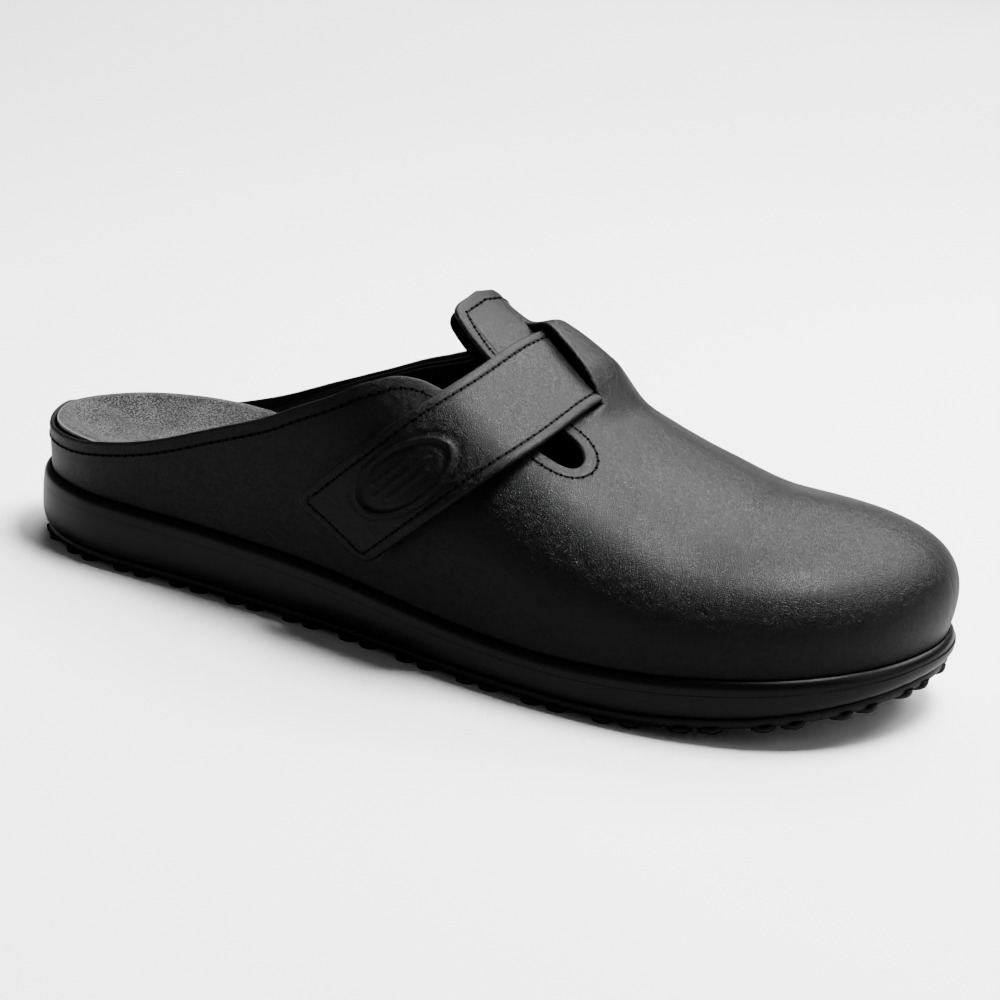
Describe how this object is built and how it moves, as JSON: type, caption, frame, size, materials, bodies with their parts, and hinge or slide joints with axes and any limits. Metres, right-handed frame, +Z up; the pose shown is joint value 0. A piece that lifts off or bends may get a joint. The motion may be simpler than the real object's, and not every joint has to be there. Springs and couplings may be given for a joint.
{
  "type": "clog",
  "caption": "Closed-toe leather clog, open at the heel, with a hook-and-loop instep strap, suede footbed and rubber cup sole. Right foot.",
  "frame": {"origin": "middle of the object's box on the ground", "axes": "+X from heel to toe, +Y towards the inner side of the foot, +Z up"},
  "size_m": [0.2888, 0.106, 0.0937],
  "materials": {
    "rubber": "moulded black rubber, satin wall",
    "board": "pressed fibre board",
    "cork": "ground cork and latex",
    "suede": "grey split suede, brushed nap",
    "upper_leather": "smooth black leather, fine pebble grain, satin",
    "interlining": "dark non-woven",
    "stiffener": "thermoplastic sheet",
    "lining": "dark lining leather, matt",
    "tape": "black hook-and-loop tape"
  },
  "bodies": {
    "shoe": {"tread_outsole": "rubber", "cup_sole": "rubber", "insole_board": "board", "footbed_core": "cork", "footbed_cover": "suede", "upper_leather": "upper_leather", "upper_interlining": "interlining", "toe_puff": "stiffener", "upper_lining": "lining", "loop_tape": "tape", "strap_base_backing": "lining", "strap_base_leather": "upper_leather", "strap_anchor_patch": "interlining"},
    "strap_tip": {"strap_tip_backing": "lining", "strap_tip_leather": "upper_leather", "hook_tape": "tape"}
  },
  "joints": [
    {"name": "strap_flap", "type": "hinge", "parent": "shoe", "child": "strap_tip", "pos_m": [0.02752, 0.00287, 0.07844], "axis": [-0.816, 0.3582, 0.4536], "range_deg": [0, 105]}
  ]
}
